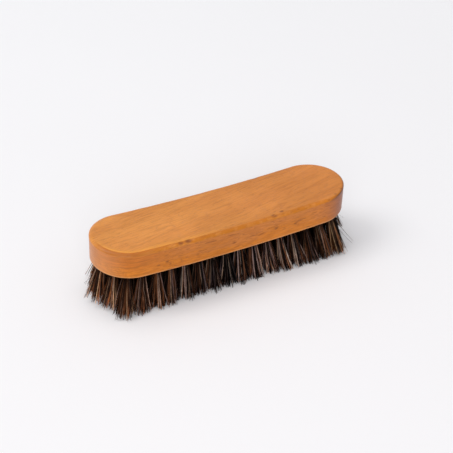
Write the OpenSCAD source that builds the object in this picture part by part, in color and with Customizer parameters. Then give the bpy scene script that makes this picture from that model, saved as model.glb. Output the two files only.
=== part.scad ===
// Shoe shine brush: a bowed hardwood block, drilled from below, with five rows of hair tufts.
// Each tuft is folded over a flat wire anchor and driven to the bottom of its hole.
// The brush stands on its trimmed tips at z = 0. X runs along its length, and Y across it.

/* [Block] */
// Length of the wooden block
block_len = 170; // [140:1:220]
// Width of the wooden block
block_wid = 45; // [37:0.5:60]
// Thickness of the wooden block
block_thick = 17; // [14:0.5:24]
// Height that the block climbs from its middle to each end
bow_rise = 2.7; // [0:0.1:6]
// Radius of the rim around the top
rim_top_r = 2.2; // [0.5:0.1:5]
// Radius of the rim around the underside
rim_low_r = 0.8; // [0.3:0.1:2]

/* [Holes] */
// Distance between the holes of a row
hole_pitch = 9.3; // [7.7:0.1:12]
// Diameter of each hole
hole_d = 5.6; // [4.6:0.1:6.8]
// Depth of each hole along its own axis
hole_depth = 10; // [8:0.5:12]
// Wood between the outer rows and the long sides
side_wood = 3.7; // [2:0.1:6]
// Least wood between a hole and the round ends
end_wood = 2; // [1.5:0.1:5]
// Outward lean of the two outer rows, in degrees
side_lean = 9.5; // [0:0.5:12]
// Outward lean of the last holes at each end, in degrees
end_lean = 12; // [0:0.5:14]

/* [Bristles] */
// Free length of the bristles at the middle of the brush
bristle_len = 24.2; // [15:0.1:35]
// Strands in each tuft
strand_count = 5; // [4:1:6]
// Width of a strand where it leaves its tuft's root
strand_w = 1.4; // [0.8:0.1:1.5]
// Width of a strand at its tip, where the hair has fanned out
tip_w = 2; // [0.6:0.1:2.4]
// Least gap between neighbouring tufts at their tips
tip_gap = 0.6; // [0.2:0.1:2]
// Difference between the longest and the shortest strands
uneven = 2; // [0.6:0.1:4]
// Depth of the flat cut across the longest strands
trim_cut = 0.5; // [0.1:0.1:0.5]
// Length of tightly packed root that shows below its hole
root_neck = 1; // [0.7:0.1:3]

/* [Anchors] */
// Thickness of the flat wire
wire_t = 0.4; // [0.2:0.1:0.8]
// Width of the flat wire, measured along the hole
wire_w = 1.8; // [1:0.1:3]
// Bite of the wire into the wood at each side of the hole
wire_bite = 0.4; // [0.2:0.1:0.8]
// Thickness of the hair that is folded over the wire
fold_t = 0.9; // [0.5:0.1:2]

/* [Clearances] */
// Gap between a tuft's root and the wall of its hole
root_gap = 0.05; // [0.02:0.01:0.2]
// Gap between the wire and what it passes through
wire_gap = 0.05; // [0.02:0.01:0.1]

/* [Hidden] */

// Colours
wood = [0.83, 0.53, 0.27];
hair_dark = [0.16, 0.12, 0.10];
hair_light = [0.27, 0.20, 0.16];
steel = [0.72, 0.72, 0.70];

// The rows are counted from the front, at -2, to the back, at 2.
outer_row = 2;
row_gap = (block_wid / 2 - side_wood - hole_d / 2) / outer_row;

// The outline of the block is a straight stretch between two half circles.
end_x = (block_len - block_wid) / 2;

// Steps of the block's outline and of its rims
arc_steps = 14;
side_steps = 18;
low_steps = 3;
top_steps = 6;
round_fn = 48;

// A strand is a tube of triangles, with three sides and four rings.
strand_sides = 3;
strand_rings = 4;
// How far a strand reaches into its root
strand_in = 1;
// Wall of the root that stays outside its strands
root_skin = 0.1;
// Share of the way to its neighbour that a strand may turn
turn_share = 0.12;
// Least share of the tuft's spread that a strand takes
least_spread = 0.8;
// How late the strands fan out: 1 is straight
fan_power = 1.4;
// What a cutting shape reaches past the surface that it cuts
over = 3;
// Seeds that give each row and each tuft its own random numbers
row_seed = 7919;
tuft_seed = 61;

root_r = hole_d / 2 - root_gap;
mouth_spread = root_r - root_skin - strand_w / 2;
tip_spread = (hole_pitch - tip_gap - tip_w) / 2;
wire_len = hole_d + 2 * wire_bite;
wire_z = hole_depth - root_gap - fold_t - wire_w / 2;

// Height of the block's curve above its middle
function bow(x) = bow_rise * pow(2 * x / block_len, 2);

// Half the length that holes may take on the line at this y
function row_reach(y) =
    let (r = block_wid / 2 - end_wood - hole_d / 2)
    end_x + sqrt(max(0, r * r - y * y));

// Places of one row's holes: neighbouring rows are half a pitch apart.
function row_holes(row) =
    let (y = row * row_gap)
    let (shift = abs(row) % 2 == 1 ? 0 : hole_pitch / 2)
    let (half = floor((row_reach(y) - shift) / hole_pitch))
    let (first = shift == 0 ? -half : -half - 1)
    [for (i = [first : half]) [shift + i * hole_pitch, y]];

// Lean of a hole along the length and across the width, in degrees
function lean_x(p) = end_lean * sign(p.x) * pow(p.x / row_reach(0), 2);
function lean_y(p) = side_lean * p.y / (outer_row * row_gap);

// The mouth of a hole, and the direction in which its tuft leaves it
function mouth(p) = [p.x, p.y, bristle_len + bow(p.x)];
function outward(p) =
    [cos(lean_y(p)) * sin(lean_x(p)), sin(lean_y(p)), -cos(lean_y(p)) * cos(lean_x(p))];

// Puts its children in a hole's own frame, with z pointing up the hole from its mouth.
module in_hole(p) {
    translate(mouth(p))
        rotate([lean_y(p), -lean_x(p), 0])
            children();
}

// Front half of the block's outline, from the left tip to the right one
function front_half(r) = concat(
    [for (i = [0 : arc_steps])
        let (a = 180 + 90 * i / arc_steps)
        [-end_x + r * cos(a), r * sin(a)]],
    [for (i = [1 : side_steps - 1])
        [-end_x + 2 * end_x * i / side_steps, -r]],
    [for (i = [0 : arc_steps])
        let (a = 270 + 90 * i / arc_steps)
        [end_x + r * cos(a), r * sin(a)]]
);

// The whole outline, drawn in by inset: the back half is the front half's mirror image.
function outline(inset) =
    let (half = front_half(block_wid / 2 - inset))
    let (n = len(half))
    concat(half, [for (i = [n - 2 : -1 : 1]) [half[i].x, -half[i].y]]);

// Inset and height of each level, up the lower rim and then over the upper one
levels = concat(
    [for (i = [0 : low_steps])
        let (a = 90 * i / low_steps)
        [rim_low_r * (1 - sin(a)), rim_low_r * (1 - cos(a))]],
    [for (i = [0 : top_steps])
        let (a = 90 * i / top_steps)
        [rim_top_r * (1 - cos(a)), block_thick - rim_top_r * (1 - sin(a))]]
);

// The bowed block before it is drilled
module blank() {
    half_n = 2 * arc_steps + side_steps + 1;
    n = 2 * half_n - 2;
    top = (len(levels) - 1) * n;
    points = [
        for (level = levels)
            for (p = outline(level[0]))
                [p.x, p.y, bristle_len + bow(p.x) + level[1]]
    ];
    walls = [
        for (j = [0 : len(levels) - 2])
            for (i = [0 : n - 1])
                let (a = j * n + i)
                let (b = j * n + (i + 1) % n)
                each [[a, a + n, b + n], [a, b + n, b]]
    ];
    // The caps are ladders of flat strips, because the bow only changes along the length.
    rungs = [
        for (i = [1 : half_n - 3])
            [i, i + 1, n - i - 1, n - i]
    ];
    underside = concat(
        [[0, 1, n - 1]],
        [for (r = rungs) each [[r[0], r[1], r[2]], [r[0], r[2], r[3]]]],
        [[half_n - 2, half_n - 1, half_n]]
    );
    upper = [for (f = underside) [top + f[0], top + f[2], top + f[1]]];
    polyhedron(points, concat(walls, underside, upper), convexity = 4);
}

// The block, with a drilled hole and a pair of wire notches for each tuft
module block() {
    color(wood)
        difference() {
            blank();
            for (row = [-outer_row : outer_row])
                for (p = row_holes(row))
                    in_hole(p) {
                        translate([0, 0, -over])
                            cylinder(d = hole_d, h = hole_depth + over, $fn = round_fn);
                        wire(wire_gap);
                    }
        }
}

// One flat wire, standing on edge across its hole, or the space for it when gap isn't zero
module wire(gap = 0) {
    translate([0, 0, wire_z])
        cube([wire_len + 2 * gap, wire_t + 2 * gap, wire_w + 2 * gap], center = true);
}

// Random numbers of one strand, from 0 to 1: its turn, its spread, its trim and its twist
function chance(row, i, s) = rands(0, 1, 4, row_seed * (row + outer_row + 1) + tuft_seed * i + s);

// Centre line of a strand at share t of its way, from inside the root to the tip
function strand_at(p, luck, s, t) =
    let (start = mouth(p) - strand_in * outward(p))
    let (tip_z = max(0, uneven * luck[2] * luck[2] - trim_cut))
    let (run = (start.z - tip_z) / -outward(p).z)
    let (turn = 360 / strand_count * (s + turn_share * (2 * luck[0] - 1)))
    let (wide = tip_spread * (least_spread + (1 - least_spread) * luck[1]))
    let (spread = mouth_spread + (wide - mouth_spread) * pow(t, fan_power))
    start + t * run * outward(p) + spread * [cos(turn), sin(turn), 0];

function strand_points(p, luck, s) = [
    for (j = [0 : strand_rings - 1])
        let (t = j / (strand_rings - 1))
        let (c = strand_at(p, luck, s, t))
        let (w = strand_w + (tip_w - strand_w) * t)
        for (k = [0 : strand_sides - 1])
            let (a = 360 * (k / strand_sides + luck[3]))
            c + w / 2 * [cos(a), sin(a), 0]
];

// Triangles of a strand whose points start at number first
function strand_faces(first) =
    let (m = strand_sides)
    let (last = first + m * (strand_rings - 1))
    concat(
        [[for (k = [m - 1 : -1 : 0]) first + k]],
        [for (j = [0 : strand_rings - 2])
            for (k = [0 : m - 1])
                let (a = first + j * m + k)
                let (b = first + j * m + (k + 1) % m)
                each [[a, b, b + m], [a, b + m, a + m]]],
        [[for (k = [0 : m - 1]) last + k]]
    );

// The strands of the i-th tuft of a row
module strands(p, row, i) {
    per_strand = strand_sides * strand_rings;
    points = [
        for (s = [0 : strand_count - 1])
            each strand_points(p, chance(row, i, s), s)
    ];
    faces = [
        for (s = [0 : strand_count - 1])
            each strand_faces(s * per_strand)
    ];
    polyhedron(points, faces, convexity = 4);
}

// The packed root of a tuft, folded over its wire
module root(p) {
    in_hole(p)
        difference() {
            translate([0, 0, -root_neck])
                cylinder(r = root_r, h = root_neck + hole_depth - root_gap, $fn = round_fn);
            wire(wire_gap);
        }
}

// One row of tufts
module tufts(row) {
    holes = row_holes(row);
    color(abs(row) % 2 == 1 ? hair_light : hair_dark)
        for (i = [0 : len(holes) - 1]) {
            root(holes[i]);
            strands(holes[i], row, i);
        }
}

// One row of wire anchors
module anchors(row) {
    color(steel)
        for (p = row_holes(row))
            in_hole(p)
                wire();
}

block();
tufts(-2);  // tufts_front_outer
tufts(-1);  // tufts_front_inner
tufts(0);  // tufts_middle
tufts(1);  // tufts_back_inner
tufts(2);  // tufts_back_outer
anchors(-2);  // anchors_front_outer
anchors(-1);  // anchors_front_inner
anchors(0);  // anchors_middle
anchors(1);  // anchors_back_inner
anchors(2);  // anchors_back_outer
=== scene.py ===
# Shoe shine brush: a bowed, lacquered hardwood block with five rows of hair tufts.
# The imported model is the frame. X runs along the brush, Y across it, and the tips stand on z = 0.
import math

import bmesh
import bpy
import numpy as np
from mathutils import Matrix, Vector
from mathutils.geometry import delaunay_2d_cdt


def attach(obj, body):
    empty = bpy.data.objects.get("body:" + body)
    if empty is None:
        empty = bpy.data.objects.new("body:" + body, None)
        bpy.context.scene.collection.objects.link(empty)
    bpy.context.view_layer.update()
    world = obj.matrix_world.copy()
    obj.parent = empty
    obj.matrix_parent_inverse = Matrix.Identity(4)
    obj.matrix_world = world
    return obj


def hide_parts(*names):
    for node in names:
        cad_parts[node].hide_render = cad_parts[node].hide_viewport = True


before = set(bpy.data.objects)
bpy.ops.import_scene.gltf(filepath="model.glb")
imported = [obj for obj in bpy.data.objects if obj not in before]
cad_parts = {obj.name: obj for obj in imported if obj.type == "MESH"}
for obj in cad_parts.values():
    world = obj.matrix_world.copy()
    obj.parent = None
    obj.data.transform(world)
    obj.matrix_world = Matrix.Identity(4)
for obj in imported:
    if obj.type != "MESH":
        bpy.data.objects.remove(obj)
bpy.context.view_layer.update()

MM = 0.001

# Sizes of the block and its holes, as the part has them
BLOCK_LEN = 170 * MM
BLOCK_WID = 45 * MM
BLOCK_THICK = 17 * MM
BOW_RISE = 2.7 * MM
RIM_LOW = 0.8 * MM
HOLE_PITCH = 9.3 * MM
HOLE_R = 2.8 * MM
HOLE_DEPTH = 10 * MM
SIDE_WOOD = 3.7 * MM
END_WOOD = 2 * MM
SIDE_LEAN = math.radians(9.5)
END_LEAN = math.radians(12)
BRISTLE_LEN = 24.2 * MM
ROOT_NECK = 1 * MM
WIRE_TOP = 9.05 * MM
FOLD_RISE = 0.85 * MM
OUTER_ROW = 2
ROW_GAP = (BLOCK_WID / 2 - SIDE_WOOD - HOLE_R) / OUTER_ROW
END_X = (BLOCK_LEN - BLOCK_WID) / 2

ROW_NAMES = {
    -2: "front_outer",
    -1: "front_inner",
    0: "middle",
    1: "back_inner",
    2: "back_outer",
}


def bow(x):
    """Height of the block's curve above its middle. It grows with the square of x, up to the rise."""
    return BOW_RISE * (2 * x / BLOCK_LEN) ** 2


def underside(x):
    """Height of the block's underside above the floor."""
    return BRISTLE_LEN + bow(x)


def row_reach(y):
    """Half the length that holes may take on the line at this y."""
    radius = BLOCK_WID / 2 - END_WOOD - HOLE_R
    return END_X + math.sqrt(max(0.0, radius**2 - y**2))


def row_holes(row):
    """Places of one row's holes, one per pitch. Every other row is shifted by half a pitch."""
    y = row * ROW_GAP
    shift = 0 if row % 2 else HOLE_PITCH / 2
    half = math.floor((row_reach(y) - shift) / HOLE_PITCH)
    first = -half if shift == 0 else -half - 1
    x = shift + np.arange(first, half + 1) * HOLE_PITCH
    return np.stack([x, np.full(len(x), y)], axis=1)


def hole_axes(holes):
    """Each hole's mouth, and its own axes: along the wire, across it, and up the hole.

    The axes are the frame's, turned about X by the lean across the width, which grows with y, and
    then about Y by the lean along the length, which grows with the square of x.
    """
    x, y = holes.T
    lean_x = END_LEAN * np.sign(x) * (x / row_reach(0)) ** 2
    lean_y = SIDE_LEAN * y / (OUTER_ROW * ROW_GAP)
    sin_x, cos_x = np.sin(lean_x), np.cos(lean_x)
    sin_y, cos_y = np.sin(lean_y), np.cos(lean_y)
    mouth = np.stack([x, y, underside(x)], axis=1)
    along = np.stack([cos_x, np.zeros_like(x), sin_x], axis=1)
    across = np.stack([-sin_x * sin_y, cos_y, cos_x * sin_y], axis=1)
    up = np.stack([-sin_x * cos_y, -sin_y, cos_x * cos_y], axis=1)
    return mouth, along, across, up


# Meshes


def ramp(value, start, over):
    """A number that is 0 up to start, rises evenly, and is 1 from start plus over."""
    return np.clip((value - start) / over, 0, 1)


def bell(value, centre, width):
    """A bell curve that is 1 at its centre: e to the power of minus the square of value's distance
    from the centre, in widths."""
    return np.exp(-((value - centre) / width) ** 2)


def strip_faces(rings, sides, closed):
    """Quads between neighbouring rings of points. The last side joins the first one if closed."""
    ring = np.arange(rings - 1)[:, None] * sides
    side = np.arange(sides if closed else sides - 1)[None, :]
    after = (side + 1) % sides
    quads = [ring + side, ring + sides + side, ring + sides + after, ring + after]
    return np.stack(quads, axis=-1).reshape(-1, 4)


def mesh_of(name, points, *face_sets):
    """A mesh from an array of points and arrays of faces, each with one row per face."""
    sizes = np.concatenate([np.full(len(f), f.shape[1]) for f in face_sets])
    corners = np.concatenate([f.ravel() for f in face_sets]).astype(np.int32)
    mesh = bpy.data.meshes.new(name)
    mesh.vertices.add(len(points))
    mesh.vertices.foreach_set("co", points.astype(np.float32).ravel())
    mesh.loops.add(len(corners))
    mesh.loops.foreach_set("vertex_index", corners)
    mesh.polygons.add(len(sizes))
    mesh.polygons.foreach_set("loop_start", (np.cumsum(sizes) - sizes).astype(np.int32))
    mesh.update(calc_edges=True)
    mesh.validate()
    return mesh


def merged(mesh, distance):
    """Joins the points of a mesh that lie in one place, and turns its faces outwards."""
    work = bmesh.new()
    work.from_mesh(mesh)
    bmesh.ops.remove_doubles(work, verts=work.verts, dist=distance)
    bmesh.ops.recalc_face_normals(work, faces=work.faces)
    work.to_mesh(mesh)
    work.free()
    return mesh


def places(mesh):
    """The points of a mesh as an array with one row each."""
    found = np.empty(len(mesh.vertices) * 3, np.float32)
    mesh.vertices.foreach_get("co", found)
    return found.reshape(-1, 3)


def add_values(mesh, name, values):
    """Gives each point of a mesh a number that its material reads."""
    mesh.attributes.new(name, "FLOAT", "POINT").data.foreach_set("value", values.astype(np.float32))


def add_object(data):
    """Puts a mesh, a lamp or a camera in the scene, under its own name."""
    made = bpy.data.objects.new(data.name, data)
    bpy.context.scene.collection.objects.link(made)
    return made


def add_piece(mesh, material, stands_for):
    """Puts a finished mesh in the scene as a piece of the brush that stands for a CAD node."""
    piece = add_object(mesh)
    mesh.materials.append(material)
    mesh.shade_smooth()
    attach(piece, "root")
    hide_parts(stands_for)


# The wooden block

ARC_STEPS = 48
SIDE_STEPS = 220
CAP_STEPS = 40
LOW_STEPS = 4
WALL_STEPS = 24
ARRIS_STEPS = 3
ROUND_STEPS = 10
HOLE_SIDES = 24
MERGE = 0.002 * MM

# Random waves of the rim's size and of the wall: their height, how many the finest curve has round
# the block, and their seed
RIM_WOBBLE = 0.09
RIM_WAVES = 39
RIM_SEED = 11
WALL_WOBBLE = 0.08 * MM
WALL_WAVES = 11
WALL_SEED = 5

MOUTH_ROUNDS = 6
# Triangles within the given edges, and how near two of their points count as one
FILL_EDGES = 4
SAME_POINT = 1e-9

# The upper rim turns sharply from the wall to this slope, and then in a wide round to the top.
RIM_TURN = math.radians(36)
ARRIS_R = 0.8 * MM
ROUND_R = 2.9 * MM
RIM_INSET = ARRIS_R * (1 - math.cos(RIM_TURN)) + ROUND_R * math.cos(RIM_TURN)
RIM_DROP = ARRIS_R * math.sin(RIM_TURN) + ROUND_R * (1 - math.sin(RIM_TURN))

# How much narrower the rim gets at the front's right end
NARROWING = 0.55

# The narrowing, the marks, the painted highlight and the painted shade on the upper rim grow from this
# distance, over this length. Distances are counted from the middle to the left, to the right or to the
# front.
NARROW_TO_RIGHT = (55 * MM, 20 * MM)
LEFT_RIM_TO_LEFT = (0, 45 * MM)
LEFT_RIM_TO_FRONT = (0, 14 * MM)
CORNER_TO_FRONT = (0, 10 * MM)
CAP_TO_LEFT = (50 * MM, 16 * MM)
CAP_TO_FRONT = (0, 12 * MM)
RIM_TO_FRONT = (-6 * MM, 12 * MM)
RIM_SHADE_TO_RIGHT = (62 * MM, 12 * MM)
RIM_SHADE_TO_FRONT = (-4 * MM, 8 * MM)
# What is left of the marks and of the painted highlight where they are weakest, and what the painted
# shade at the right end takes off the rim's colour
LEAST_LEFT_RIM = 0.1
LEAST_CORNER = 0.3
LEAST_RIM = 0.35
RIM_SHADE_DIMMING = 0.4

# Where the marks, the painted highlights and the painted shade lie across the rim. An inset is counted
# from the wall, in widths of the rim.
MOST_INSET = 4
RIM_FADE = (0.75, 0.6)
HIGHLIGHT_LINE = (1.15, 0.22)
CORNER_LINE = (0.8, 0.2)
GOLD_START = 0.9
GOLD_FADE = (1, 0.9)
RIM_SHADE_WIDTH = 1.0 * MM
LOW_WIDTH = 0.6 * MM

# Knocks and dark marks, in millimetres: x, y, height above the underside, half their height and
# their depth. Along and across the brush they are larger by their shape.
KNOCK_SHAPE = [2.3, 1.6, 1]
KNOCKS = np.array([
    [-37.6, -21.2, 16.6, 0.8, 0.25],
    [-32.6, -21.0, 16.6, 1.1, 0.35],
    [26.0, -20.6, 16.8, 0.9, 0.25],
    [32.0, -18.8, 17.0, 0.7, 0.10],
    [64.3, -21.6, 16.6, 0.45, 0.05],
    [70.8, -18.9, 17.0, 0.45, 0.05],
    [77.0, -15.6, 16.9, 0.45, 0.05],
    [-52.7, -22.5, 5.6, 0.55, 0],
    [-46.9, -22.5, 6.8, 0.6, 0],
    [-45.0, -22.5, 4.6, 0.4, 0],
    [-27.1, -22.5, 6.0, 0.5, 0],
    [-2.2, -22.5, 7.1, 0.7, 0],
    [3.8, -22.5, 11.1, 0.4, 0],
    [27.0, -22.5, 8.1, 0.6, 0],
    [40.5, -22.5, 7.4, 0.7, 0],
    [-61.0, 22.5, 9.0, 0.6, 0],
    [-18.0, 22.5, 6.0, 0.6, 0],
    [36.0, 21.0, 16.6, 0.8, 0.25],
    [52.0, 22.5, 10.0, 0.5, 0],
]) * MM


def knock_bells(spot):
    """How much each spot lies in each knock: a bell curve that is longest along the brush."""
    away = spot[..., None, :] - KNOCKS[:, :3]
    away = away / (KNOCKS[:, 3:4] * KNOCK_SHAPE)
    return np.exp(-(away**2).sum(axis=-1))


def outline_rays():
    """Start and direction of the rays whose ends, at half the width, make the block's outline.

    The front half runs from the left tip to the right one: a quarter circle about the left end's
    centre, a straight stretch, and a quarter circle about the right end's centre. The back half is
    its mirror image.
    """
    turn = np.linspace(0, math.pi / 2, ARC_STEPS + 1)
    run = np.linspace(-END_X, END_X, SIDE_STEPS + 1)[1:-1]
    start = np.concatenate([np.full(ARC_STEPS + 1, -END_X), run, np.full(ARC_STEPS + 1, END_X)])
    way_x = np.concatenate([-np.cos(turn), np.zeros(len(run)), np.sin(turn)])
    way_y = np.concatenate([-np.sin(turn), -np.ones(len(run)), -np.cos(turn)])
    way_y[[0, -1]] = 0
    start = np.concatenate([start, start[-2:0:-1]])
    way_x = np.concatenate([way_x, way_x[-2:0:-1]])
    way_y = np.concatenate([way_y, -way_y[-2:0:-1]])
    return start, way_x, way_y


def wobble(share, most, seed):
    """A smooth random closed curve from -1 to 1: a sum of sine curves round the outline, with two
    waves and more. A curve's random size falls with the square root of its number of waves."""
    draw = np.random.default_rng(seed)
    count = np.arange(2, most + 1)
    size = draw.normal(size=len(count)) / np.sqrt(count)
    phase = draw.uniform(0, 2 * math.pi, len(count))
    curve = (size * np.sin(2 * math.pi * share[:, None] * count + phase)).sum(axis=1)
    return curve / np.abs(curve).max()


def rim_size(x, y):
    """Size of the upper rim against its usual size: it narrows towards the right end of the front."""
    front = np.clip(0.5 - y / BLOCK_WID, 0, 1)
    return 1 - NARROWING * front * ramp(x, *NARROW_TO_RIGHT)


def upper_rim():
    """Inset and drop of the upper rim, from the wall to the top: a small arc, and then a wide one."""
    small = np.linspace(0, RIM_TURN, ARRIS_STEPS + 1)
    wide = np.linspace(RIM_TURN, math.pi / 2, ROUND_STEPS + 1)[1:]
    inset = np.concatenate([ARRIS_R * (1 - np.cos(small)), RIM_INSET - ROUND_R * np.cos(wide)])
    drop = np.concatenate([RIM_DROP - ARRIS_R * np.sin(small), ROUND_R * (1 - np.sin(wide))])
    return inset, drop


def wall_points():
    """Rings of the block's side, from the underside's edge over both rims to the top's edge.

    A ring is the outline drawn in by the level's inset, at the level's height above the bowed
    underside. The lower rim is a quarter circle. The upper rim's size and the wall wander a little.
    """
    start, way_x, way_y = outline_rays()
    share = np.arange(len(start)) / len(start)
    even = np.ones(len(start))
    low = np.linspace(0, math.pi / 2, LOW_STEPS + 1)[:, None]
    wall = np.linspace(0, 1, WALL_STEPS + 1)[1:-1, None]
    rim_inset, rim_drop = upper_rim()
    size = rim_size(start + BLOCK_WID / 2 * way_x, BLOCK_WID / 2 * way_y)
    size = size + RIM_WOBBLE * wobble(share, RIM_WAVES, RIM_SEED)
    inset = np.concatenate([
        RIM_LOW * (1 - np.sin(low)) * even,
        0 * wall * even,
        rim_inset[:, None] * size,
    ])
    height = np.concatenate([
        RIM_LOW * (1 - np.cos(low)) * even,
        RIM_LOW + (BLOCK_THICK - RIM_DROP * size - RIM_LOW) * wall,
        BLOCK_THICK - rim_drop[:, None] * size,
    ])
    waves = WALL_WOBBLE * wobble(share, WALL_WAVES, WALL_SEED)
    bulge = np.sin(math.pi * height / BLOCK_THICK) * waves
    reach = BLOCK_WID / 2 - inset - WALL_WOBBLE + bulge
    x = start + reach * way_x
    y = reach * way_y
    spot = np.stack([x, y, height], axis=-1)
    dent = knock_bells(spot) @ KNOCKS[:, 4]
    x = x - dent * way_x
    y = y - dent * way_y
    height = height - dent
    return np.stack([x, y, underside(x) + height], axis=-1)


def top_points(edge):
    """The block's top: straight lines across it, from each point of its edge to the one opposite."""
    half = 2 * ARC_STEPS + SIDE_STEPS + 1
    front = edge[:half]
    back = np.concatenate([edge[:1], edge[:half - 2:-1]])
    share = np.linspace(0, 1, CAP_STEPS + 1)[:, None, None]
    return front + (back - front) * share


def hole_rings(mouth, along, across, up):
    """Rings of each hole: its mouth, where the cylinder meets the bowed underside, and its bottom.

    A point of the mouth goes up the hole by its height below the underside, over the hole's slope,
    and again from where it is then, until it stays.
    """
    turn = np.arange(HOLE_SIDES) * 2 * math.pi / HOLE_SIDES
    ring = along[:, None] * np.cos(turn)[:, None] + across[:, None] * np.sin(turn)[:, None]
    ring = mouth[:, None] + HOLE_R * ring
    rise = np.zeros(ring.shape[:2])
    for _ in range(MOUTH_ROUNDS):
        at = ring + rise[..., None] * up[:, None]
        rise = rise + (underside(at[..., 0]) - at[..., 2]) / up[:, None, 2]
    low = ring + rise[..., None] * up[:, None]
    high = ring + HOLE_DEPTH * up[:, None]
    return low, high


def underside_faces(edge, rings):
    """The underside between its edge and the mouths of the holes, as triangles on the bowed sheet.

    Triangles whose corners all lie on one mouth would close that hole, and are left out.
    """
    loops = [edge[:, :2]] + list(rings[..., :2])
    flat = np.concatenate(loops)
    owner = np.repeat(np.arange(len(loops)), [len(loop) for loop in loops])
    sides, first = [], 0
    for loop in loops:
        number = first + np.arange(len(loop))
        sides.append(np.stack([number, np.roll(number, -1)], axis=1))
        first += len(loop)
    sides = np.concatenate(sides).tolist()
    found = delaunay_2d_cdt(flat.tolist(), sides, [], FILL_EDGES, SAME_POINT)
    flat, faces, source = np.array(found[0]), np.array(found[2]), np.concatenate(found[3])
    points = np.stack([flat[:, 0], flat[:, 1], underside(flat[:, 0])], axis=1)
    corners = owner[source][faces]
    lids = (corners[:, 0] > 0) & (corners == corners[:, :1]).all(axis=1)
    return points, faces[~lids]


def block_mesh():
    """The block: its side, its top, and its drilled underside, joined into one closed skin."""
    wall = wall_points()
    levels, around = wall.shape[:2]
    top = top_points(wall[-1])
    axes = [np.concatenate(a) for a in zip(*(hole_axes(row_holes(row)) for row in ROW_NAMES))]
    low, high = hole_rings(*axes)
    holes = len(low)
    low_points, low_faces = underside_faces(wall[0], low)
    centre = high.mean(axis=1)
    number = np.arange(holes)[:, None] * HOLE_SIDES + np.arange(HOLE_SIDES)
    after = np.roll(number, -1, axis=1)
    over = holes * HOLE_SIDES
    bore = np.stack([number, after, after + over, number + over], axis=-1).reshape(-1, 4)
    middle = np.broadcast_to(2 * over + np.arange(holes)[:, None], number.shape)
    floor = np.stack([number + over, after + over, middle], axis=-1).reshape(-1, 3)
    parts = [
        (wall.reshape(-1, 3), strip_faces(levels, around, True)),
        (top.reshape(-1, 3), strip_faces(CAP_STEPS + 1, top.shape[1], False)),
        (low_points, low_faces),
        (np.concatenate([low.reshape(-1, 3), high.reshape(-1, 3), centre]), bore, floor),
    ]
    points, faces, first = [], [], 0
    for part in parts:
        points.append(part[0])
        faces += [f + first for f in part[1:]]
        first += len(part[0])
    mesh = merged(mesh_of("wood_block", np.concatenate(points), *faces), MERGE)
    mark_wood(mesh)
    return mesh


def mark_wood(mesh):
    """Gives the wood the numbers that its finish follows, worked out from where each point lies.

    Reach is the distance from the block's centre line, height that above the underside, and inset
    the depth inside the wall in widths of the upper rim. Above is 0 on the wall and 1 over its upper
    corner. Rim_top is above until the inset ends it, and rim_left is the same round the left end.
    The painted highlight just inside the upper rim and corner are bell curves of the inset, and gold
    falls off inwards from the rim. All three grow to the left and to the front. The painted shade on the
    right end's upper corner is a bell curve of the distance from that corner, the painted highlight on
    the lower corner one of the distance from the lower corner, and knock one of the distance from each
    knock.
    """
    x, y, z = places(mesh).T
    reach = np.hypot(np.maximum(np.abs(x) - END_X, 0), y)
    height = z - underside(x)
    half = BLOCK_WID / 2
    size = rim_size(x, y)
    over_arris = height - BLOCK_THICK + RIM_DROP * size
    above = np.clip(over_arris / (ARRIS_R * size) + 0.5, 0, 1)
    inset = np.clip((half - reach) / (RIM_INSET * size), 0, MOST_INSET)
    from_upper = np.hypot(reach - half, over_arris)
    bend = (1 - math.sqrt(0.5)) * RIM_LOW
    from_lower = np.hypot(reach - half + bend, height - bend)

    rim = above * (1 - ramp(inset, *RIM_FADE))
    cap = ramp(-x, *CAP_TO_LEFT)
    leftwards = ramp(-x, *LEFT_RIM_TO_LEFT)
    left = np.maximum(leftwards, LEAST_LEFT_RIM) * ramp(-y, *LEFT_RIM_TO_FRONT)
    # Where the painted shade at the right end lies
    right = ramp(x, *RIM_SHADE_TO_RIGHT) * ramp(-y, *RIM_SHADE_TO_FRONT)
    front = np.maximum(ramp(-y, *RIM_TO_FRONT), LEAST_RIM)
    corner = above * np.maximum(leftwards, LEAST_CORNER) * ramp(-y, *CORNER_TO_FRONT)
    gold = bell(np.maximum(inset, GOLD_FADE[0]), *GOLD_FADE) * (inset > GOLD_START)
    numbers = {
        # The rim's amber is dimmed by the painted shade at the right end's front
        "rim_top": rim * front * (1 - cap) * (1 - RIM_SHADE_DIMMING * right),
        "rim_left": rim * cap * ramp(-y, *CAP_TO_FRONT),
        # Painted shade: a dark line along the upper corner of the right end
        "painted_rim_shade": right * bell(from_upper, 0, RIM_SHADE_WIDTH),
        "corner": corner * bell(inset, *CORNER_LINE),
        # Painted highlight: a bright line just inside the upper rim at the left front
        "rim_highlight": left * bell(inset, *HIGHLIGHT_LINE),
        "gold": left * gold,
        # Painted highlight: a pale line along the lower corner
        "low_rim_highlight": bell(from_lower, 0, LOW_WIDTH),
        "wall": 1 - above,
        "height": height / BLOCK_THICK,
        "knock": knock_bells(np.stack([x, y, height], axis=1)).max(axis=-1),
    }
    for name, values in numbers.items():
        add_values(mesh, name, values)


# The hair

# A tuft is made of locks, a lock of strands, and a strand of hairs.
LOCKS = 12
STRANDS = 9
OUTER_HAIRS = 4
INNER_HAIRS = 3
HAIR_SEED = 100
HAIR_SIDES = 3
HAIR_RINGS = 5
HAIR_R = 0.15 * MM
HAIR_WIDTHS = (0.75, 1.25)
TAPER = 0.45
ROOT_R = 1.95 * MM
TIP_R = 5.25 * MM
SUNK = 1.6 * MM
FAN_POWER = 1.4
GOLDEN_TURN = math.pi * (3 - math.sqrt(5))

# Random spreads in the root, as shares of its radius
LOCK_SPREAD = 0.07
STRAND_SPREAD = 0.2
HAIR_SPREAD = 0.022
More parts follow.
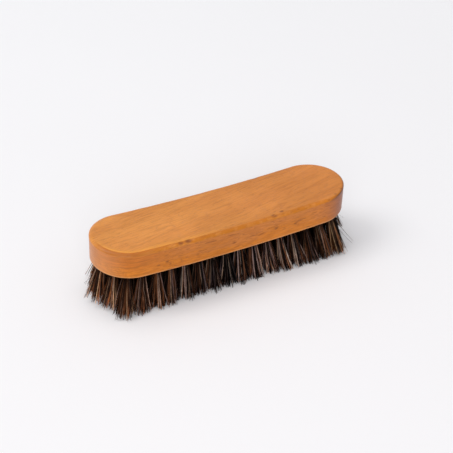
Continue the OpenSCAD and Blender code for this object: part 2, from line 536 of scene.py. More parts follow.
# How much a lock, a strand and a hair fan out, and the random spreads at the tips
LOCK_FAN = (0.9, 1.12)
STRAND_FAN = 0.8
HAIR_FAN = 1.2
LOCK_TIPS = 0.06
STRAND_TIPS = 0.13
HAIR_TIPS = 0.018
# Shares and spreads of the hairs that cross their neighbours, and of the few that go astray
CROSSING = 0.12
CROSSING_TIPS = 0.22
ASTRAY = 0.008
ASTRAY_TIPS = 0.3
STRAND_CURL = 0.35 * MM
HAIR_CURL = 0.2 * MM

# How uneven the tips are, and the shares of this that locks, strands and hairs have
UNEVEN = 1.5 * MM
TRIM_SHARES = (0.4, 0.35, 0.25)
# How much further out the tips lie: at the left end's front and back, at the right end, and along
# the front's right half
LEFT_REACH = 0.6 * MM
BACK_REACH = -1.2 * MM
RIGHT_REACH = -1.2 * MM
FRONT_REACH = 2.2 * MM
# Share of the right end's reach that its back has
RIGHT_BACK = 0.2
# How far the tips lean towards the right in the middle of the right half
RIGHT_LEAN = 2.6 * MM
# How much wider the tufts fan out at the left end
END_FAN = 0.12
# How much higher the tips end at the left end and at the right end, from where, and over what length
LEFT_RISE = 3.5 * MM
LEFT_RISES = (66 * MM, 13 * MM)
RIGHT_RISE = 2.6 * MM
RIGHT_RISES = (58 * MM, 20 * MM)

# The fold of a root over its wire
FOLD_SIDES = 11
FOLD_STEPS = 7
FOLD_GAP = 0.28 * MM
FOLD_R = 2.72 * MM

# Tones of the hair: red, green, blue, and how common the tone is
TONES = np.array([
    [0.004, 0.002, 0.0015, 0.50],
    [0.030, 0.011, 0.005, 0.13],
    [0.120, 0.041, 0.015, 0.10],
    [0.260, 0.094, 0.036, 0.09],
    [0.170, 0.100, 0.078, 0.06],
    [0.420, 0.260, 0.180, 0.06],
    [0.620, 0.360, 0.200, 0.05],
    [1.000, 0.700, 0.460, 0.015],
])
# Painted shade on the tufts inside the brush: share of the brightness that they keep, and how far inside
# that is
INNER_SHADE_TONE = 0.22
INNER_FROM = 8.5 * MM
INNER_TO = 13 * MM

# Hairs that stand out from the tufts: row, which end of it, and where their tips are, in millimetres
STRAYS = [
    (-2, 1, (89.5, -17.2, 0.4)),
    (-2, 1, (86.5, -20.5, 1.5)),
    (-1, 1, (86.0, -9.6, 14.6)),
    (0, 1, (91.0, 2.0, 5.0)),
    (-1, -1, (-88.0, -5.2, 17.0)),
    (0, -1, (-89.5, 3.2, 12.5)),
    (0, -1, (-88.5, -2.0, 9.0)),
]

# Places along the brush. For each one: how bright the hair is, how much brown its darkest hairs take
# on, and how much cooler it is
TONE_PLACES = np.array([-80, -50, -20, 12, 45, 65, 80]) * MM
TONE_LEVELS = [1.82, 0.88, 0.48, 1.1, 1.08, 0.57, 0.42]
TONE_LIFTS = [0.5, 0.12, 0.0, 0.0, 0.05, 0.1, 0.1]
TONE_COOL = [0.0, 0.1, 0.7, 0.6, 0.4, -0.15, -0.5]
LIFT_TONE = np.array([0.050, 0.018, 0.008])
COOL_TONE = np.array([0.0, 0.22, 0.75])
STRAY_TONE = [0.05, 0.025, 0.015]
BRIGHTEST = 1.2
# Share of the hairs that have a tone of their own, how bright that is, and the random spreads of
# the brightness of hairs, locks and tufts
OWN_TONE = 0.06
OWN_LEVEL = 1.3
HAIR_LEVELS = 0.25
LOCK_LEVELS = (-0.15, 0.6)
TUFT_LEVELS = 0.15


def pick_tones(draw, shape):
    """A tone of the list for each strand, by how common the tones are."""
    common = TONES[:, 3] / TONES[:, 3].sum()
    return TONES[draw.choice(len(TONES), size=shape, p=common), :3]


def outward_reach(mouth):
    """How far each tuft's tips lie beyond their fan, along and across the brush.

    Along it the distance grows with the fourth power of the share of the way to the end, and goes
    from one length at the front to another at the back. The right half adds a lean that follows
    share times one minus share. Across it the tips in front go further out on the right half, with
    the share to the power 0.7.
    """
    share = mouth[:, 0] / row_reach(0)
    across = mouth[:, 1] / (OUTER_ROW * ROW_GAP)
    front = np.clip(-across, 0, 1)
    back = np.clip(0.5 + across / 2, 0, 1)
    left = LEFT_REACH + (BACK_REACH - LEFT_REACH) * back
    right = RIGHT_REACH * (RIGHT_BACK + (1 - RIGHT_BACK) * front)
    reach_x = np.where(share > 0, right, -left) * share**4
    reach_x = reach_x + 4 * RIGHT_LEAN * np.clip(share * (1 - share), 0, 1)
    reach_y = -FRONT_REACH * front * np.clip(share, 0, 1) ** 0.7
    return np.stack([reach_x, reach_y], axis=1)


def root_places(draw, shape):
    """Places in the roots, as shares of a root's radius: of the hairs, locks, strands in their lock,
    and hairs in their strand.

    The locks lie on a sunflower spiral: each one a golden turn on from the one before, and as far
    out as the square root of its share.
    """
    lock = np.arange(LOCKS)
    turn = lock * GOLDEN_TURN + draw.uniform(0, 2 * math.pi, (shape[0], 1))
    spread = np.sqrt((lock + 0.5) / LOCKS)
    spiral = np.stack([spread * np.cos(turn), spread * np.sin(turn)], axis=-1)
    spiral = spiral + draw.normal(0, LOCK_SPREAD, spiral.shape)
    strand = draw.normal(0, STRAND_SPREAD, (*shape[:3], 2))
    single = draw.normal(0, HAIR_SPREAD, (*shape, 2))
    root = spiral[:, :, None, None] + strand[:, :, :, None] + single
    root = root / np.maximum(1, np.linalg.norm(root, axis=-1, keepdims=True))
    return root, spiral, strand, single


def tip_places(draw, mouth, spiral, strand, single):
    """Places of the tips beside their tuft's axis, and which hairs cross their neighbours."""
    shape = single.shape[:-1]
    lock_tip = spiral * draw.uniform(*LOCK_FAN, (len(mouth), LOCKS, 1))
    lock_tip = lock_tip + draw.normal(0, LOCK_TIPS, spiral.shape)
    tip = lock_tip[:, :, None, None] + STRAND_FAN * strand[:, :, :, None] + HAIR_FAN * single
    tip = tip + draw.normal(0, STRAND_TIPS, (*shape[:3], 1, 2))
    tip = tip + draw.normal(0, HAIR_TIPS, tip.shape)
    crossing = draw.random(shape) < CROSSING
    tip = tip + crossing[..., None] * draw.normal(0, CROSSING_TIPS, tip.shape)
    share = mouth[:, 0, None, None, None, None] / row_reach(0)
    tip = tip * (1 + np.where(share < 0, END_FAN, 0) * share**4)
    astray = draw.random(shape) < ASTRAY
    tip = TIP_R * (tip + astray[..., None] * draw.normal(0, ASTRAY_TIPS, tip.shape))
    return tip + outward_reach(mouth)[:, None, None, None], crossing


def trim_heights(draw, mouth, shape):
    """Heights of the tips: a sum of squared random numbers of lock, strand and hair, plus the rise
    towards each end of the brush."""
    lock, strand, hair = TRIM_SHARES
    trim = lock * draw.random((*shape[:2], 1, 1)) ** 2 + strand * draw.random((*shape[:3], 1)) ** 2
    trim = UNEVEN * (trim + hair * draw.random(shape) ** 2)
    rise = LEFT_RISE * ramp(-mouth[:, 0], *LEFT_RISES) + RIGHT_RISE * ramp(mouth[:, 0], *RIGHT_RISES)
    return trim + rise[:, None, None, None]


def row_strays(row):
    """The row's hairs that stand out: which hair of which tuft, and where its tip is."""
    return [
        ((0 if end < 0 else -1, i % LOCKS, 0, 0), target)
        for i, (at, end, target) in enumerate(STRAYS)
        if at == row
    ]


def hair_tones(draw, mouth, crossing):
    """Tones of one row's hairs.

    A strand has one tone, and its hairs that cross, and a few more, have their own. Random numbers of
    hair, lock and tuft scale them. They follow the place along the brush, and inside it they get painted
    shade, as if the outer tufts shaded them. In the end a tone is divided by one plus its share of the
    brightest one.
    """
    shape = crossing.shape
    tone = pick_tones(draw, shape[:3])[:, :, :, None] * np.ones((*shape, 1))
    own = crossing | (draw.random(shape) < OWN_TONE)
    tone = np.where(own[..., None], OWN_LEVEL * pick_tones(draw, shape), tone)
    tone = tone * np.exp(draw.normal(0, HAIR_LEVELS, (*shape, 1)))
    level, lift, cool = [
        np.interp(mouth[:, 0], TONE_PLACES, values)[:, None, None, None, None]
        for values in (TONE_LEVELS, TONE_LIFTS, TONE_COOL)
    ]
    inside = BLOCK_WID / 2 - np.hypot(np.maximum(np.abs(mouth[:, 0]) - END_X, 0), mouth[:, 1])
    # Painted shade: tufts inside the brush get darker, as if the outer tufts shaded them
    shade_kept = np.interp(inside, [INNER_FROM, INNER_TO], [1, INNER_SHADE_TONE])[:, None, None, None, None]
    tone = tone * (1 + cool * COOL_TONE) * level
    tone = tone * draw.lognormal(*LOCK_LEVELS, (*shape[:2], 1, 1, 1))
    tone = (tone + lift * LIFT_TONE) * draw.lognormal(0, TUFT_LEVELS, (shape[0], 1, 1, 1, 1)) * shade_kept
    return tone / (1 + tone.max(axis=-1, keepdims=True) / BRIGHTEST)


def row_hairs(row, hairs):
    """Centre lines, widths, tones and twists of one row's hairs.

    At share t of its way a hair lies on its tuft's axis plus its place in the tuft. That goes from
    the root's place to the tip's with t to the power of the fan, plus a curl that follows sin(pi t).
    The hair's tip is at the height to which it was trimmed, and it tapers with the square of t.
    """
    draw = np.random.default_rng(HAIR_SEED + row)
    mouth, _, _, up = hole_axes(row_holes(row))
    shape = (len(mouth), LOCKS, STRANDS, hairs)
    root, spiral, strand, single = root_places(draw, shape)
    tip, crossing = tip_places(draw, mouth, spiral, strand, single)
    curl = draw.normal(0, STRAND_CURL, (*shape[:3], 1, 2)) + draw.normal(0, HAIR_CURL, (*shape, 2))
    trim = trim_heights(draw, mouth, shape)
    strays = row_strays(row)
    for stray, target in strays:
        trim[stray] = target[2] * MM

    t = np.linspace(0, 1, HAIR_RINGS)
    axis = -up[:, None, None, None]
    start = mouth[:, None, None, None] + SUNK * up[:, None, None, None]
    run = (start[..., 2] - trim) / -axis[..., 2]
    line = start[..., None, :] + (t * run[..., None])[..., None] * axis[..., None, :]
    for stray, target in strays:
        tip[stray] = np.array(target[:2]) * MM - line[stray][-1, :2]
    fan = t[:, None] ** FAN_POWER
    place = (ROOT_R * root)[..., None, :] * (1 - fan) + tip[..., None, :] * fan
    line[..., :2] += place + curl[..., None, :] * np.sin(math.pi * t)[:, None]

    width = HAIR_R * draw.uniform(*HAIR_WIDTHS, shape)[..., None] * (1 - TAPER * t**2)
    tone = hair_tones(draw, mouth, crossing)
    for stray, target in strays:
        tone[stray] = STRAY_TONE
    twist = draw.uniform(0, 2 * math.pi, shape)
    line, width = line.reshape(-1, HAIR_RINGS, 3), width.reshape(-1, HAIR_RINGS)
    return line, width, tone.reshape(-1, 3), twist.ravel()


def hair_tubes(line, width, twist):
    """Tapered tubes with three sides along the hairs' centre lines, closed at both ends."""
    turn = twist[:, None, None] + np.arange(HAIR_SIDES) * 2 * math.pi / HAIR_SIDES
    side = np.stack([np.cos(turn), np.sin(turn), np.zeros_like(turn)], axis=-1)
    points = line[:, :, None] + width[..., None, None] * side
    first = np.arange(len(line))[:, None, None] * (HAIR_RINGS * HAIR_SIDES)
    quads = (first + strip_faces(HAIR_RINGS, HAIR_SIDES, True)).reshape(-1, 4)
    ring = np.arange(HAIR_SIDES)
    last = (HAIR_RINGS - 1) * HAIR_SIDES + ring[::-1]
    ends = (first + np.stack([ring, last])).reshape(-1, HAIR_SIDES)
    return points.reshape(-1, 3), quads, ends


def folded_roots(row):
    """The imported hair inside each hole, folded over its wire.

    A half disc is carried up one side of the wire, over it and down the other side. Over the wire it
    turns about the wire's top edge, and what lies further out rises more, up to the hole's bottom.
    """
    mouth, along, across, up = hole_axes(row_holes(row))
    turn = np.linspace(-math.pi / 2, math.pi / 2, FOLD_SIDES)
    out = np.maximum(FOLD_R * np.cos(turn), FOLD_GAP)
    side = FOLD_R * np.sin(turn)
    bend = np.concatenate([[0, 0], np.linspace(0, math.pi, FOLD_STEPS), [math.pi, math.pi]])
    leg = [-ROOT_NECK, WIRE_TOP / 2]
    rise = np.concatenate([leg, np.full(FOLD_STEPS, WIRE_TOP), leg[::-1]])
    lift = FOLD_GAP + (FOLD_RISE - FOLD_GAP) * (out - FOLD_GAP) / (FOLD_R - FOLD_GAP)
    local_x = np.broadcast_to(side, (len(bend), FOLD_SIDES))
    local_y = out * np.cos(bend)[:, None]
    local_z = rise[:, None] + lift * np.sin(bend)[:, None]
    points = mouth[:, None, None]
    for local, axis in ((local_x, along), (local_y, across), (local_z, up)):
        points = points + local[..., None] * axis[:, None, None]
    per_root = len(bend) * FOLD_SIDES
    first = np.arange(len(mouth))[:, None, None] * per_root
    quads = (first + strip_faces(len(bend), FOLD_SIDES, True)).reshape(-1, 4)
    ring = np.arange(FOLD_SIDES)
    ends = (first + np.stack([ring, per_root - 1 - ring])).reshape(-1, FOLD_SIDES)
    return points.reshape(-1, 3), quads, ends


def tuft_mesh(row, hairs):
    """One row of tufts: the folded roots in their holes, and the free hairs."""
    line, width, tone, twist = row_hairs(row, hairs)
    points, quads, ends = hair_tubes(line, width, twist)
    root_points, root_quads, root_ends = folded_roots(row)
    first = len(points)
    mesh = mesh_of(
        "bristles_" + ROW_NAMES[row],
        np.concatenate([points, root_points]),
        quads, ends, root_quads + first, root_ends + first,
    )
    tone = np.repeat(tone, HAIR_RINGS * HAIR_SIDES, axis=0)
    tone = np.concatenate([tone, np.tile(TONES[0, :3], (len(root_points), 1))])
    colour = np.concatenate([tone, np.ones((len(tone), 1))], axis=1).astype(np.float32)
    mesh.attributes.new("tone", "FLOAT_COLOR", "POINT").data.foreach_set("color", colour.ravel())
    share = np.tile(np.repeat(np.linspace(0, 1, HAIR_RINGS), HAIR_SIDES), len(line))
    add_values(mesh, "share", np.concatenate([share, np.zeros(len(root_points))]))
    return mesh


# Materials


class Nodes:
    """Short ways to place the nodes of one tree. A value is a socket to link or a plain setting."""

    def __init__(self, tree):
        self.tree = tree
        tree.nodes.clear()

    def add(self, kind, values=None, **settings):
        node = self.tree.nodes.new(kind)
        for name, setting in settings.items():
            setattr(node, name, setting)
        for name, value in (values or {}).items():
            self.put(node.inputs[name], value)
        return node

    def put(self, socket, value):
        if isinstance(value, bpy.types.NodeSocket):
            self.tree.links.new(value, socket)
        else:
            socket.default_value = value

    def math(self, operation, *values):
        return self.add("ShaderNodeMath", dict(enumerate(values)), operation=operation).outputs[0]

    def times(self, a, b):
        return self.math("MULTIPLY", a, b)

    def mix(self, factor, a, b, blend="MIX"):
        """A colour that goes from a to b, or to a blended with b, as factor goes from 0 to 1."""
        node = self.add("ShaderNodeMix", data_type="RGBA", blend_type=blend)
        self.put(node.inputs[0], factor)
        self.put(node.inputs[6], a)
        self.put(node.inputs[7], b)
        return node.outputs[2]

    def noise(self, vector, scale, detail=2.0, roughness=0.5):
        values = {"Vector": vector, "Scale": scale, "Detail": detail, "Roughness": roughness}
        return self.add("ShaderNodeTexNoise", values).outputs["Fac"]

    def spread(self, value, low, high, out_low=0.0, out_high=1.0):
        """A smooth step from out_low, up to low, to out_high, from high onwards."""
        node = self.add("ShaderNodeMapRange", interpolation_type="SMOOTHSTEP")
        for number, setting in enumerate([value, low, high, out_low, out_high]):
            self.put(node.inputs[number], setting)
        return node.outputs[0]

    def stretch(self, vector, scale, shift=(0, 0, 0), turn=(0, 0, 0)):
        values = {"Vector": vector, "Scale": scale, "Location": shift, "Rotation": turn}
        return self.add("ShaderNodeMapping", values).outputs[0]

    def attribute(self, name, output="Fac"):
        return self.add("ShaderNodeAttribute", attribute_name=name).outputs[output]

    def place(self):
        return self.add("ShaderNodeTexCoord").outputs["Object"]

    def group(self, tree, **values):
        node = self.add("ShaderNodeGroup", node_tree=tree)
        for name, value in values.items():
            self.put(node.inputs[name], value)
        return node.outputs


def new_group(name, inputs, outputs):
    """An empty shader group with these sockets. Returns its nodes, its input sockets and its end."""
    tree = bpy.data.node_groups.new(name, "ShaderNodeTree")
    for socket, kind in inputs.items():
        tree.interface.new_socket(socket, in_out="INPUT", socket_type=kind)
    for socket, kind in outputs.items():
        tree.interface.new_socket(socket, in_out="OUTPUT", socket_type=kind)
    nodes = Nodes(tree)
    start = nodes.add("NodeGroupInput")
    end = nodes.add("NodeGroupOutput")
    return nodes, start.outputs, end.inputs


def new_material(name):
    """A material without nodes, and the way to place them."""
    material = bpy.data.materials.new(name)
    material.use_nodes = True
    return material, Nodes(material.node_tree)


def finish_material(nodes, values, height=None, depth=0.0):
    """Ends a material in a Principled BSDF, with a bump from height where there is one."""
    shader = nodes.add("ShaderNodeBsdfPrincipled", values)
    if height is not None:
        bump = nodes.add("ShaderNodeBump", {"Height": height, "Distance": depth})
        nodes.put(shader.inputs["Normal"], bump.outputs[0])
    end = nodes.add("ShaderNodeOutputMaterial")
    nodes.put(end.inputs["Surface"], shader.outputs[0])


VALUE = "NodeSocketFloat"
COLOUR = "NodeSocketColor"
VECTOR = "NodeSocketVector"


def drift_group():
    """Slow change of tone: a colour made darker and lighter by a soft noise."""
    sockets = {"Vector": VECTOR, "Colour": COLOUR, "Scale": VALUE, "Darkest": VALUE, "Lightest": VALUE}
    nodes, start, end = new_group("slow_drift", sockets, {"Colour": COLOUR, "Drift": VALUE})
    cloud = nodes.noise(start["Vector"], start["Scale"], 3.0)
    drift = nodes.spread(cloud, 0.3, 0.7)
    level = nodes.spread(cloud, 0.3, 0.7, start["Darkest"], start["Lightest"])
    nodes.put(end["Colour"], nodes.mix(1.0, start["Colour"], level, "MULTIPLY"))
    nodes.put(end["Drift"], drift)
    return nodes.tree


def scuff_group():
    """Fine scuffs: thin scratches one way and specks between them, as a mask and a roughness."""
    sockets = {"Vector": VECTOR, "Scale": VALUE, "Amount": VALUE, "Roughness": VALUE}
    nodes, start, end = new_group("fine_scuffs", sockets, {"Scuffs": VALUE, "Roughness": VALUE})
    long_way = nodes.stretch(start["Vector"], (0.12, 1.0, 1.0))
    lines = nodes.spread(nodes.noise(long_way, start["Scale"], 4.0, 0.7), 0.56, 0.72)
    specks = nodes.spread(nodes.noise(start["Vector"], start["Scale"], 2.0), 0.62, 0.74)
    both = nodes.math("MAXIMUM", lines, specks)
    scuffs = nodes.times(both, start["Amount"])
    nodes.put(end["Scuffs"], scuffs)
    nodes.put(end["Roughness"], nodes.math("ADD", start["Roughness"], nodes.times(scuffs, 0.3)))
    return nodes.tree


DRIFT = drift_group()
SCUFFS = scuff_group()


# How the grain is turned on the top, and the rays on the side at the left
GRAIN_TURN = math.radians(-9)
RAY_TURN = math.radians(-27)

# Colours of the wood. Some stand for painted light: the pink above on the side and the left end's tone
# are a painted reflection, the bright lines along the rims painted highlights, and the right end's tone,
# the dark line on its rim and the top's right half painted shade. Two in a row are the darker and the
# lighter bands of the growth rings.
WOOD = {
    "top_left": [(0.68, 0.25, 0.045, 1), (0.74, 0.29, 0.056, 1)],
    "top_right": [(0.6, 0.203, 0.034, 1), (0.655, 0.232, 0.041, 1)],
    "top_lines": (0.42, 0.125, 0.018, 1),
    "veins": (0.4, 0.115, 0.016, 1),
    "pink": [(0.55, 0.172, 0.026, 1), (0.64, 0.212, 0.036, 1)],
    "pink_left": (0.55, 0.152, 0.009, 1),
    "amber": [(0.57, 0.165, 0.008, 1), (0.67, 0.208, 0.013, 1)],
    "side_lines": (0.3, 0.085, 0.018, 1),
    "left_end_sheen": (0.58, 0.25, 0.1, 1),
    "right_end_shade": (0.27, 0.068, 0.02, 1),
    "rim_top": (0.56, 0.172, 0.01, 1),
    "rim_left": (0.43, 0.13, 0.013, 1),
    "gold": (0.76, 0.3, 0.033, 1),
    "rim_highlight": (0.92, 0.38, 0.06, 1),
    "corner": (0.52, 0.135, 0.003, 1),
    "painted_rim_shade": (0.07, 0.016, 0.003, 1),
    "low_rim_highlight": (0.92, 0.5, 0.22, 1),
    "pores": (0.28, 0.075, 0.012, 1),
    "marks": (0.26, 0.07, 0.014, 1),
    "knock": (0.2, 0.05, 0.008, 1),
}


def grain_place(nodes, place):
    """The place, bent a little by a soft noise and turned to run with the grain."""
    bend = nodes.add("ShaderNodeTexNoise", {"Vector": place, "Scale": 22.0, "Detail": 1.0})
    values = {0: bend.outputs["Color"], "Scale": 0.004}
    offset = nodes.add("ShaderNodeVectorMath", values, operation="SCALE").outputs[0]
    bent = nodes.add("ShaderNodeVectorMath", {0: place, 1: offset}, operation="ADD").outputs[0]
    return nodes.stretch(bent, (1, 1, 1), turn=(0, 0, GRAIN_TURN))


def top_colour(nodes, along, rings, lines):
    """Honey that gets deeper to the right, a painted shade for light that falls from the left, with fine
    lines and with veins in the middle of the rings.
    """
    band = nodes.spread(rings, 0.3, 0.7)
    left = nodes.mix(band, *WOOD["top_left"])
    right = nodes.mix(band, *WOOD["top_right"])
    # Painted shade: the top is darker to the right and lighter to the left, where the lamps fall
    colour = nodes.mix(nodes.spread(along, -0.06, 0.08), left, right)
    colour = nodes.mix(nodes.spread(lines, 0.42, 0.68, 0.0, 0.36), colour, WOOD["top_lines"])
    away = nodes.math("ABSOLUTE", nodes.math("SUBTRACT", rings, 0.5))
    veins = nodes.spread(away, 0.0, 0.018, 0.32, 0.0)
    veins = nodes.times(veins, nodes.spread(along, -0.06, 0.05, 0.5, 1.0))
    return nodes.mix(veins, colour, WOOD["veins"])


def side_colour(nodes, place, along, rings, lines, streaks, ray_share):
    """Amber below and pink above, the pink a painted reflection of the pale floor, with slanting rays on
    the left, a painted reflection on the left end and painted shade on the right end.
    """
    band = nodes.spread(streaks, 0.35, 0.62)
    # The pink above is a painted reflection of the pale floor on the upper side. The amber below has
    # less of it, and pink_left takes some of it off at the left end
    pink = nodes.mix(band, *WOOD["pink"])
    pink = nodes.mix(nodes.spread(along, -0.062, -0.035, 0.8, 0.0), pink, WOOD["pink_left"])
    amber = nodes.mix(band, *WOOD["amber"])
    border = nodes.math("ADD", nodes.attribute("height"), nodes.spread(rings, 0.3, 0.7, -0.2, 0.2))
    side = nodes.mix(nodes.spread(border, 0.25, 0.65), amber, pink)
    side = nodes.mix(nodes.spread(lines, 0.42, 0.7, 0.0, 0.2), side, WOOD["side_lines"])
    slant = nodes.stretch(place, (60.0, 120.0, 800.0), turn=(RAY_TURN, 0, 0))
    rays = nodes.spread(nodes.noise(slant, 1.0, 1.0), 0.40, 0.60, 0.84, 1.04)
    side = nodes.mix(ray_share, side, nodes.mix(1.0, side, rays, "MULTIPLY"))
    # Painted reflection: the left tip is paler and pinker, as if it caught the pale surroundings at a
    # grazing angle
    side = nodes.mix(nodes.spread(along, -0.085, -0.070, 0.5, 0.0), side, WOOD["left_end_sheen"])
    # Painted shade: the right end, turned away from the lamps, is darkened
    return nodes.mix(nodes.spread(along, 0.050, 0.084, 0.0, 0.95), side, WOOD["right_end_shade"])


def rim_colours(nodes, colour, place, rings, streaks):
    """Lays the marks of the rims over a colour, with painted highlights along the rims and painted shade
    at the right end. Each one's number is scaled by a noise or a share.
    """
    shares = {
        "rim_top": nodes.spread(nodes.noise(place, 230.0, 2.0), 0.36, 0.60, 0.3, 0.95),
        "rim_left": 1.0,
        "gold": 0.85,
        # Painted highlight just inside the upper rim
        "rim_highlight": nodes.spread(rings, 0.35, 0.6, 0.5, 0.9),
        "corner": nodes.spread(streaks, 0.35, 0.6, 0.4, 0.9),
        # Painted shade along the right end's upper corner
        "painted_rim_shade": nodes.spread(streaks, 0.35, 0.6, 0.75, 1.0),
        # Painted highlight along the lower corner
        "low_rim_highlight": 0.6,
    }
    for name, share in shares.items():
        factor = nodes.times(nodes.attribute(name), share)
        colour = nodes.mix(factor, colour, WOOD[name])
    return colour


def wood_finish():
    """Honey lacquer on a pale hardwood: grain along X, short flecks and knocks, and marked rims, with
    painted light: highlights on the rims, reflections on the side and shade to the right.

    Ranges of along are places on the brush in metres. Noises go from 0 to 1, and so do factors.
    """
    material, nodes = new_material("lacquered_wood")
    place = nodes.place()
    along = nodes.add("ShaderNodeSeparateXYZ", {0: place}).outputs["X"]
    wall = nodes.attribute("wall")
    grain = grain_place(nodes, place)
    rings = nodes.noise(nodes.stretch(grain, (9.0, 170.0, 260.0)), 1.0, 2.0)
    lines = nodes.noise(nodes.stretch(grain, (75.0, 950.0, 950.0)), 1.0, 3.0, 0.65)
    streaks = nodes.noise(nodes.stretch(grain, (42.0, 900.0, 900.0)), 1.0, 3.0, 0.6)
    flecks = nodes.noise(nodes.stretch(grain, (300.0, 1500.0, 1500.0)), 1.0, 1.0)
    dashes = nodes.noise(nodes.stretch(grain, (60.0, 800.0, 800.0), (5, 0, 0)), 1.0, 1.0)
    ray_share = nodes.spread(along, -0.065, -0.045, 1.0, 0.0)

    top = top_colour(nodes, along, rings, lines)
    side = side_colour(nodes, place, along, rings, lines, streaks, ray_share)
    colour = rim_colours(nodes, nodes.mix(wall, top, side), place, rings, streaks)
    plain = nodes.math("SUBTRACT", 1.0, nodes.times(ray_share, wall))
    pores = nodes.times(nodes.spread(flecks, 0.60, 0.68), plain)
    marks = nodes.times(nodes.spread(dashes, 0.64, 0.72), nodes.times(wall, 0.55))
    knock = nodes.spread(nodes.attribute("knock"), 0.05, 0.95, 0.0, 0.85)
    knock = nodes.times(knock, nodes.spread(lines, 0.35, 0.55, 0.35, 1.0))
    colour = nodes.mix(nodes.times(pores, 0.22), colour, WOOD["pores"])
    colour = nodes.mix(nodes.times(marks, plain), colour, WOOD["marks"])
    colour = nodes.mix(knock, colour, WOOD["knock"])
    drift = nodes.group(DRIFT, Vector=place, Colour=colour, Scale=28.0, Darkest=0.92, Lightest=1.06)
    scuffs = nodes.group(SCUFFS, Vector=place, Scale=900.0, Amount=0.35, Roughness=0.36)
    skin = nodes.noise(place, 260.0, 2.0)
    bump = nodes.math("ADD", nodes.times(lines, -0.5), nodes.times(skin, 0.5))
    bump = nodes.math("SUBTRACT", bump, nodes.times(pores, 0.6))
    finish_material(nodes, {
        "Base Color": drift["Colour"],
        "Roughness": scuffs["Roughness"],
        "Coat Weight": nodes.spread(drift["Drift"], 0.0, 1.0, 0.10, 0.22),
        "Coat Roughness": 0.25,
        "Specular IOR Level": 0.2,
    }, bump, 0.12 * MM)
    return material


def hair_finish():
    """Horsehair: each hair in its own tone, with painted shade towards the root, by the block, and
    lighter tips, partly bleached and partly a painted highlight, with a soft gloss along it.
    """
    material, nodes = new_material("bristle_hair")
    place = nodes.place()
    tone = nodes.attribute("tone", "Color")
    share = nodes.attribute("share")
    bands = nodes.noise(nodes.stretch(place, (900.0, 900.0, 160.0)), 1.0, 2.0)
    tone = nodes.mix(1.0, tone, nodes.spread(bands, 0.3, 0.7, 0.75, 1.3), "MULTIPLY")
    # Painted shade: darker towards the root, next to the block and inside the tuft
    tone = nodes.mix(1.0, tone, nodes.spread(share, 0.0, 0.45, 0.35, 1.0), "MULTIPLY")
    # Lighter towards the tips: partly bleached ends, partly a painted highlight where the tips catch the
    # light
    tone = nodes.mix(1.0, tone, nodes.spread(share, 0.5, 1.0, 1.0, 1.5), "MULTIPLY")
    drift = nodes.group(DRIFT, Vector=place, Colour=tone, Scale=55.0, Darkest=0.75, Lightest=1.3)
    finish_material(nodes, {
        "Base Color": drift["Colour"],
        "Roughness": nodes.spread(bands, 0.2, 0.8, 0.40, 0.58),
        "Specular IOR Level": 0.04,
    })
    return material


def wire_finish():
    """Drawn flat wire: pale steel with fine lines along it."""
    material, nodes = new_material("anchor_wire")
    place = nodes.place()
    steel = (0.60, 0.59, 0.57, 1)
    drift = nodes.group(DRIFT, Vector=place, Colour=steel, Scale=180.0, Darkest=0.85, Lightest=1.05)
    scuffs = nodes.group(SCUFFS, Vector=place, Scale=2600.0, Amount=0.6, Roughness=0.3)
    finish_material(nodes, {
        "Base Color": drift["Colour"],
        "Metallic": 1.0,
        "Roughness": scuffs["Roughness"],
    }, scuffs["Scuffs"], 0.02 * MM)
    return material


def floor_finish():
    """Plain pale paper. Metres away it glows a little, so that it ends as pale as the backdrop."""
    material, nodes = new_material("studio_floor")
    place = nodes.place()
    depth = nodes.add("ShaderNodeSeparateXYZ", {0: place}).outputs["Y"]
    paper = nodes.mix(nodes.spread(depth, -0.2, 0.5), (0.93, 0.92, 0.935, 1), (0.925, 0.925, 0.942, 1))
    drift = nodes.group(DRIFT, Vector=place, Colour=paper, Scale=3.0, Darkest=0.99, Lightest=1.0)
    away = nodes.add("ShaderNodeVectorMath", {0: place}, operation="LENGTH").outputs["Value"]
    glow = nodes.mix(nodes.spread(away, 0.6, 5.0), (0, 0, 0, 1), (0.33, 0.33, 0.335, 1))
    finish_material(nodes, {
        "Base Color": drift["Colour"],
        "Roughness": 0.9,
        "Specular IOR Level": 0.1,
        "Emission Color": glow,
        "Emission Strength": 1.0,
    })
    return material


# Studio

CAMERA_AZIMUTH = math.radians(-29.62)
CAMERA_ELEVATION = math.radians(35.03)
CAMERA_ROLL = math.radians(2.09)
CAMERA_AIM = (-1.83 * MM, -11.39 * MM, 36 * MM)
CAMERA_DISTANCE = 732.6 * MM
SENSOR_WIDTH = 36
# The focal length that fits the photograph is 1212 px, and the photograph is 453 px wide.
CAMERA_FOCAL = 1212.0 / 453 * SENSOR_WIDTH

# Lamps: place and aim in metres, side in metres, power in watts and colour
LAMPS = {
    "key": ((-2.85, 0.68, 3.3), (0, 0, 0.02), 2.1, 54.0, (1.0, 0.985, 0.965)),
    "fill": ((-1.84, -3.17, 2.22), (0, 0, 0.02), 2.5, 60.5, (0.98, 0.985, 1.0)),
    "top": ((-0.3, 0.5, 2.8), (0, 0, 0.02), 2.2, 20.8, (1.0, 1.0, 1.0)),
}
# Strength of the surroundings as a light, and where they are seen
AMBIENT = 0.46
BACKDROP = 0.92
FLOOR_REACH = 6.0


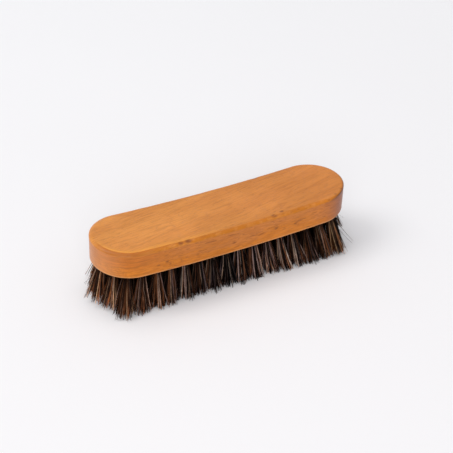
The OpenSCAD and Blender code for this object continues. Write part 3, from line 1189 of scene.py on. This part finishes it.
def add_camera():
    """The camera of the photograph: at an azimuth and an elevation from its aim, and rolled a little."""
    azimuth, elevation = CAMERA_AZIMUTH, CAMERA_ELEVATION
    back = Vector((
        math.sin(azimuth) * math.cos(elevation),
        -math.cos(azimuth) * math.cos(elevation),
        math.sin(elevation),
    ))
    level = Vector((math.cos(azimuth), math.sin(azimuth), 0))
    upright = back.cross(level)
    right = level * math.cos(CAMERA_ROLL) + upright * math.sin(CAMERA_ROLL)
    up = upright * math.cos(CAMERA_ROLL) - level * math.sin(CAMERA_ROLL)
    data = bpy.data.cameras.new("photo_camera")
    data.sensor_fit = "HORIZONTAL"
    data.sensor_width = SENSOR_WIDTH
    data.lens = CAMERA_FOCAL
    data.clip_start = 0.01
    data.clip_end = 100
    camera = add_object(data)
    turn = Matrix((right, up, back)).transposed().to_4x4()
    camera.matrix_world = Matrix.Translation(Vector(CAMERA_AIM) + back * CAMERA_DISTANCE) @ turn
    bpy.context.scene.camera = camera


def add_lamps():
    """The square lamps, each turned towards its aim."""
    for name, (spot, aim, side, power, colour) in LAMPS.items():
        data = bpy.data.lights.new(name, "AREA")
        data.shape = "SQUARE"
        data.size = side
        data.energy = power
        data.color = colour
        lamp = add_object(data)
        lamp.location = spot
        lamp.rotation_euler = (Vector(aim) - Vector(spot)).to_track_quat("-Z", "Y").to_euler()


def add_world():
    """Soft light from all round. Seen directly or in a gloss, the surroundings are nearly white."""
    world = bpy.data.worlds.new("studio")
    world.use_nodes = True
    bpy.context.scene.world = world
    nodes = Nodes(world.node_tree)
    path = nodes.add("ShaderNodeLightPath").outputs
    seen = nodes.math("MAXIMUM", path["Is Camera Ray"], path["Is Transmission Ray"])
    seen = nodes.math("MAXIMUM", seen, path["Is Glossy Ray"])
    strength = nodes.spread(seen, 0.0, 1.0, AMBIENT, BACKDROP)
    values = {"Color": (0.985, 0.985, 1.0, 1), "Strength": strength}
    light = nodes.add("ShaderNodeBackground", values)
    nodes.put(nodes.add("ShaderNodeOutputWorld").inputs["Surface"], light.outputs[0])


def add_floor():
    """A square floor under the brush."""
    points = FLOOR_REACH * np.array([[-1, -1, 0], [1, -1, 0], [1, 1, 0], [-1, 1, 0]])
    mesh = mesh_of("studio_floor", points, np.array([[0, 1, 2, 3]]))
    mesh.materials.append(floor_finish())
    add_object(mesh)


bpy.context.scene.view_settings.view_transform = "Standard"
add_camera()
add_lamps()
add_world()
add_floor()

add_piece(block_mesh(), wood_finish(), "block")

hair = hair_finish()
wire = wire_finish()
for row, row_name in ROW_NAMES.items():
    hairs = OUTER_HAIRS if abs(row) == OUTER_ROW else INNER_HAIRS
    add_piece(tuft_mesh(row, hairs), hair, "tufts_" + row_name)
    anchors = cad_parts["anchors_" + row_name].data
    anchors.materials.clear()
    anchors.materials.append(wire)
